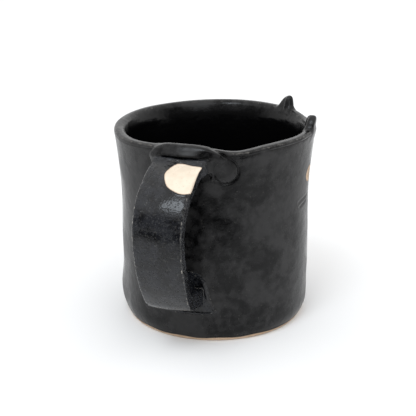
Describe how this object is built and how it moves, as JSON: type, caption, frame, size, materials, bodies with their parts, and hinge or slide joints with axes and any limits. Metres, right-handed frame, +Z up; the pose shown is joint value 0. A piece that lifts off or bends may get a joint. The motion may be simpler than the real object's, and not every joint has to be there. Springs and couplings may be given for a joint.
{
  "type": "mug",
  "caption": "Hand-built black-glazed stoneware mug with a strap handle, small cat ears on the rim, a face on one side and a tail laid over the handle's root.",
  "frame": {"origin": "on the cup's axis, in the plane of the foot that stands on the table", "axes": "+Z up along the cup's axis, the handle points to -X, and the cat's face looks 61 degrees from +X towards -Y"},
  "size_m": [0.1164, 0.088, 0.0922],
  "materials": {
    "black_glaze": "satin black glaze",
    "gloss_glaze": "black glaze, glossier and finely speckled",
    "bare_clay": "fired and left unglazed"
  },
  "bodies": {
    "root": {"wall_slab": "black_glaze", "floor_slab": "bare_clay", "corner_coil": "black_glaze", "handle_strap": "gloss_glaze", "lower_root_coil": "gloss_glaze", "tail_band": "black_glaze", "left_ear": "black_glaze", "right_ear": "black_glaze"}
  },
  "joints": []
}
